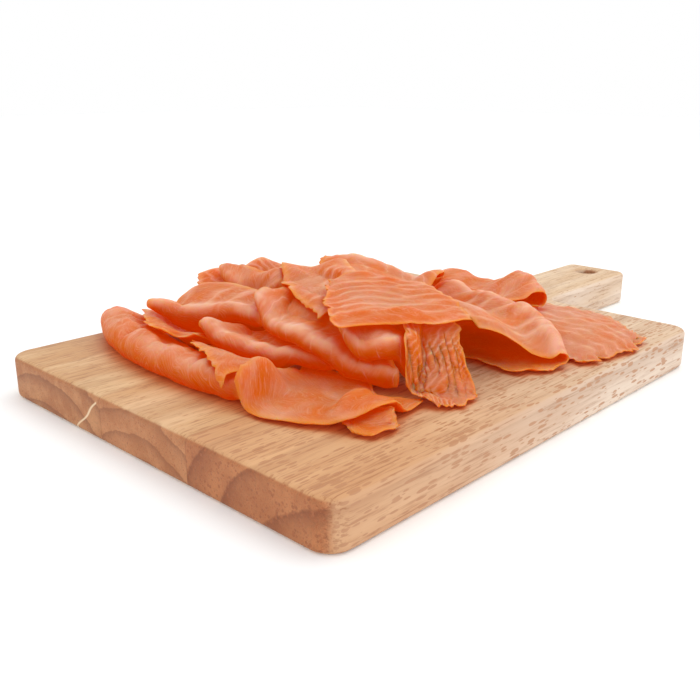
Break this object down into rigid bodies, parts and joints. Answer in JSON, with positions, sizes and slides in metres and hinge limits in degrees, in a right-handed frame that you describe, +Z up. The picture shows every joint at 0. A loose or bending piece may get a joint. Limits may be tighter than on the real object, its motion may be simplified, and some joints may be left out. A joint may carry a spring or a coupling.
{
  "type": "smoked salmon slices on a wooden serving board",
  "caption": "Thin cold-smoked salmon slices, folded and piled loosely over each other on a paddle-shaped wooden serving board with a hang hole in its handle.",
  "frame": {"origin": "middle of the board's outline, handle included, on the underside that the board stands on", "axes": "+X along the grain towards the handle, +Y across the board, +Z up through the pile of slices"},
  "size_m": [0.345, 0.2, 0.0515],
  "materials": {
    "board_wood": "oiled pale hardwood with fine brown pores, staves glued side by side",
    "salmon": "moist, translucent orange-pink flesh with pale fat lines"
  },
  "bodies": {
    "root": {"board": "board_wood", "slice_tail": "salmon", "slice_back_low": "salmon", "slice_back_high": "salmon", "slice_back_right": "salmon", "slice_right_fold": "salmon", "slice_left_roll": "salmon", "slice_front_under": "salmon", "slice_left_flap": "salmon", "slice_left_tab": "salmon", "slice_front": "salmon", "slice_mid_fold": "salmon", "slice_left_fold": "salmon", "slice_back_band": "salmon", "slice_back_left": "salmon", "slice_back_mid": "salmon", "slice_drape": "salmon", "slice_top_left": "salmon", "slice_lobe": "salmon", "slice_frill": "salmon", "slice_top": "salmon"}
  },
  "joints": []
}
